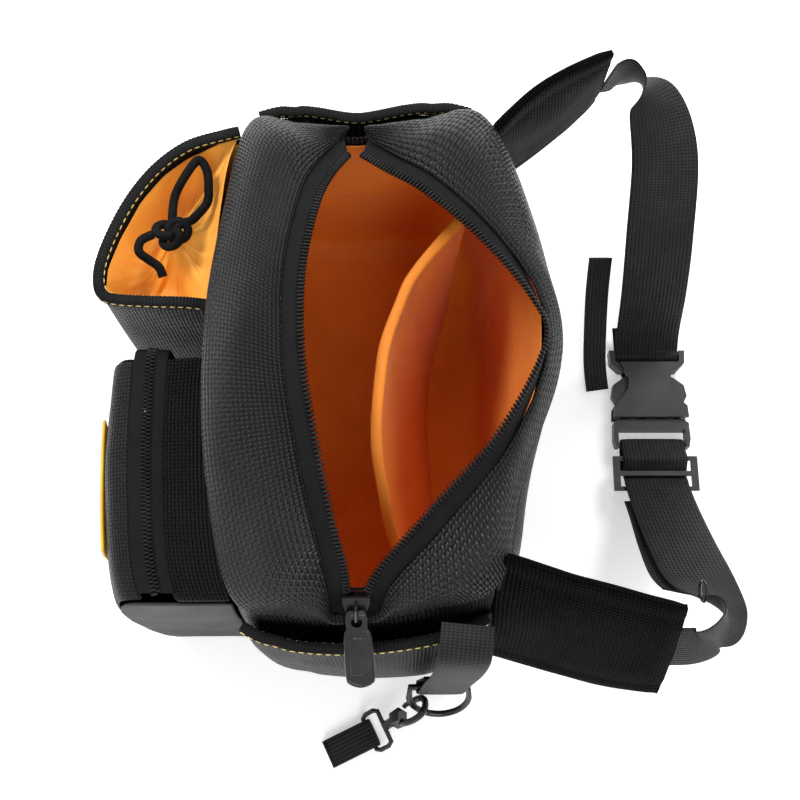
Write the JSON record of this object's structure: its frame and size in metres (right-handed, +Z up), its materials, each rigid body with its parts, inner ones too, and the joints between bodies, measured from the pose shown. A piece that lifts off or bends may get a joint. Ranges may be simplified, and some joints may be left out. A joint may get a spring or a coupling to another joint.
{
  "type": "electrician tool pouch",
  "caption": "Soft black tool pouch open at the top, with an orange lining, drawstring and zip pockets on its front, end pockets, side wings and a waist belt with buckle.",
  "frame": {"origin": "middle of the bottom panel's underside", "axes": "-Z out of the bottom, so +Z is up; -Y towards the pocketed front and +Y towards the wearer; +X towards the end with the D-ring"},
  "size_m": [0.3686, 0.3297, 0.1982],
  "materials": {
    "black_fabric": "coarse plain-weave ballistic nylon, faint sheen",
    "orange_lining": "fine coated nylon lining",
    "webbing": "woven polypropylene webbing",
    "binding": "cross-ribbed grosgrain binding tape",
    "zip_coil": "nylon coil zip teeth on woven tape",
    "dark_metal": "dark gunmetal plating, satin",
    "black_plastic": "moulded nylon, fine texture",
    "cord": "braided round cord",
    "yellow_rubber": "soft moulded rubber"
  },
  "bodies": {
    "bag": {"back_flap": "black_fabric", "back_panel": "black_fabric", "back_zip": "zip_coil", "badge_plate": "yellow_rubber", "base_panel": "black_fabric", "buckle_plug": "black_plastic", "buckle_socket": "black_plastic", "cord_knot": "cord", "cord_loop": "cord", "cord_tail": "cord", "divider": "orange_lining", "drawstring_binding": "binding", "drawstring_collar": "orange_lining", "drawstring_lining": "orange_lining", "drawstring_pocket": "black_fabric", "dring_webbing": "webbing", "end_ring": "dark_metal", "far_back_seam": "black_fabric", "far_end_panel": "black_fabric", "far_end_pocket": "black_fabric", "far_end_pocket_binding": "binding", "far_wing": "black_fabric", "front_flap": "black_fabric", "front_panel": "black_fabric", "front_zip": "zip_coil", "grosgrain_tab": "webbing", "main_lining": "orange_lining", "main_slider": "dark_metal", "near_back_seam": "black_fabric", "near_end_panel": "black_fabric", "near_end_pocket": "black_fabric", "near_end_pocket_binding": "binding", "near_wing": "black_fabric", "pocket_zip": "zip_coil", "strap_far": "webbing", "strap_keeper_tab": "webbing", "strap_near": "webbing", "strap_near_layer": "webbing", "triglide": "black_plastic", "zip_pocket_face": "black_fabric", "zip_pocket_far_side": "black_fabric", "zip_pocket_near_side": "black_fabric", "zip_pocket_top": "black_fabric"},
    "main_puller": {"main_puller": "dark_metal"},
    "pocket_slider": {"pocket_slider": "dark_metal"},
    "pocket_puller": {"pocket_puller": "dark_metal"},
    "latch_left": {"latch_arm_left": "black_plastic"},
    "latch_right": {"latch_arm_right": "black_plastic"},
    "d_ring": {"d_ring": "dark_metal"},
    "hook_body": {"hook_body": "dark_metal"},
    "hook_gate": {"hook_gate": "dark_metal"},
    "hook_swivel": {"hook_swivel": "dark_metal"},
    "hook_webbing": {"hook_webbing": "webbing"}
  },
  "joints": [
    {"name": "main_puller_swing", "type": "hinge", "parent": "bag", "child": "main_puller", "pos_m": [0.12683, -0.02, 0.15208], "axis": [-0.038, 0.9987, 0.033], "range_deg": [-150, 0]},
    {"name": "pocket_slider_slide", "type": "slide", "parent": "bag", "child": "pocket_slider", "axis": [0, 0, 1], "range_m": [0, 0.018]},
    {"name": "pocket_puller_swing", "type": "hinge", "parent": "pocket_slider", "child": "pocket_puller", "pos_m": [-0.01417, -0.12421, 0.10245], "axis": [0, 1, 0], "range_deg": [0, 24]},
    {"name": "latch_left_squeeze", "type": "hinge", "parent": "bag", "child": "latch_left", "pos_m": [-0.01, 0.14, 0.0065], "axis": [0, 0, -1], "range_deg": [0, 10], "stiffness_Nm_per_rad": 0.4},
    {"name": "latch_right_squeeze", "type": "hinge", "parent": "bag", "child": "latch_right", "pos_m": [-0.01, 0.162, 0.0065], "axis": [0, 0, 1], "range_deg": [0, 10], "stiffness_Nm_per_rad": 0.4},
    {"name": "d_ring_swing", "type": "hinge", "parent": "bag", "child": "d_ring", "pos_m": [0.1508, 0.021, 0.0422], "axis": [0, -1, 0], "range_deg": [-15, 100]},
    {"name": "hook_swing", "type": "hinge", "parent": "d_ring", "child": "hook_body", "pos_m": [0.16067, 0.00934, 0.02511], "axis": [0.361, 0.6919, -0.6253], "range_deg": [-40, 40]},
    {"name": "hook_gate_press", "type": "hinge", "parent": "hook_body", "child": "hook_gate", "pos_m": [0.15952, 0.00197, 0.0163], "axis": [0.361, 0.6919, -0.6253], "range_deg": [0, 20], "stiffness_Nm_per_rad": 0.02},
    {"name": "hook_swivel_turn", "type": "hinge", "parent": "hook_body", "child": "hook_swivel", "pos_m": [0.1671, -0.00409, 0.01397], "axis": [0.346, -0.722, -0.5992], "continuous": true},
    {"name": "hook_webbing_swing", "type": "hinge", "parent": "hook_swivel", "child": "hook_webbing", "pos_m": [0.1717, -0.0169, 0.0034], "axis": [0.9019, 0.4319, 0], "range_deg": [-8, 12]}
  ]
}
